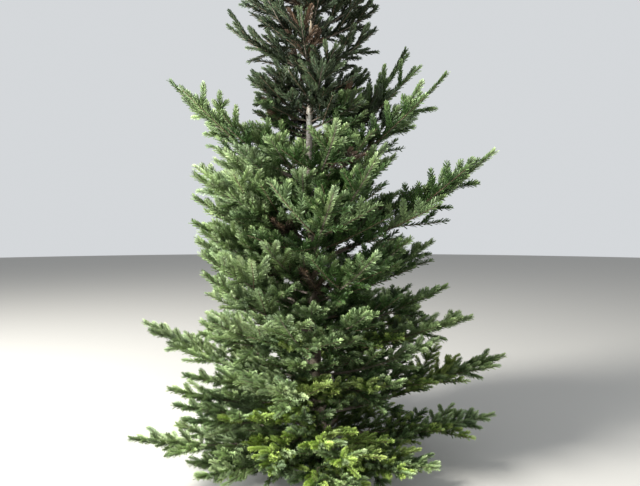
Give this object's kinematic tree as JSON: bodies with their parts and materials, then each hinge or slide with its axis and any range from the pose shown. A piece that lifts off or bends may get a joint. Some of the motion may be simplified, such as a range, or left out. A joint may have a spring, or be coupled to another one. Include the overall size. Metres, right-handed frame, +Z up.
{
  "type": "christmas tree",
  "caption": "Fir grown as a Christmas tree and rooted in the ground: a tapered trunk, whorls of upturned boughs with flat sprays of needles, and a leading shoot.",
  "frame": {"origin": "middle of the flat cut under the trunk, at ground level", "axes": "+Z up along the trunk, -Y towards the side that the picture shows, +X to the right of that view"},
  "size_m": [2.6365, 2.1108, 4.3503],
  "materials": {
    "bark": "grey bark with resin blisters, matt",
    "bough_bark": "brown bark, matt",
    "needles": "waxy green needles, satin"
  },
  "bodies": {
    "root": {"trunk": "bark", "tier_01_a_bough": "bough_bark", "tier_01_a_needles": "needles", "tier_01_b_needles": "needles", "tier_01_c_bough": "bough_bark", "tier_01_c_needles": "needles", "tier_01_d_bough": "bough_bark", "tier_01_d_needles": "needles", "tier_01_e_needles": "needles", "tier_02_a_bough": "bough_bark", "tier_02_a_needles": "needles", "tier_02_b_needles": "needles", "tier_02_c_bough": "bough_bark", "tier_02_c_needles": "needles", "tier_02_d_bough": "bough_bark", "tier_02_d_needles": "needles", "tier_03_a_needles": "needles", "tier_03_b_needles": "needles", "tier_03_c_needles": "needles", "tier_03_d_needles": "needles", "tier_04_a_needles": "needles", "tier_04_b_needles": "needles", "tier_04_c_needles": "needles", "tier_04_d_needles": "needles", "tier_04_e_needles": "needles", "tier_05_a_bough": "bough_bark", "tier_05_a_needles": "needles", "tier_05_b_needles": "needles", "tier_05_c_needles": "needles", "tier_05_d_needles": "needles", "tier_06_a_needles": "needles", "tier_06_b_needles": "needles", "tier_06_c_needles": "needles", "tier_06_d_needles": "needles", "tier_07_a_bough": "bough_bark", "tier_07_a_needles": "needles", "tier_07_b_bough": "bough_bark", "tier_07_b_needles": "needles", "tier_07_c_needles": "needles", "tier_07_d_needles": "needles", "tier_08_a_bough": "bough_bark", "tier_08_a_needles": "needles", "tier_09_a_needles": "needles", "tier_09_b_needles": "needles", "tier_09_c_needles": "needles", "tier_09_d_needles": "needles", "tier_10_a_needles": "needles", "tier_10_b_needles": "needles", "tier_10_c_needles": "needles", "tier_10_d_needles": "needles", "tier_11_a_needles": "needles", "tier_11_b_needles": "needles", "tier_11_c_needles": "needles", "tier_12_a_needles": "needles", "tier_12_b_needles": "needles", "tier_12_c_needles": "needles", "tier_13_a_needles": "needles", "tier_13_b_needles": "needles", "tier_13_c_needles": "needles", "leader_needles": "needles"}
  },
  "joints": []
}
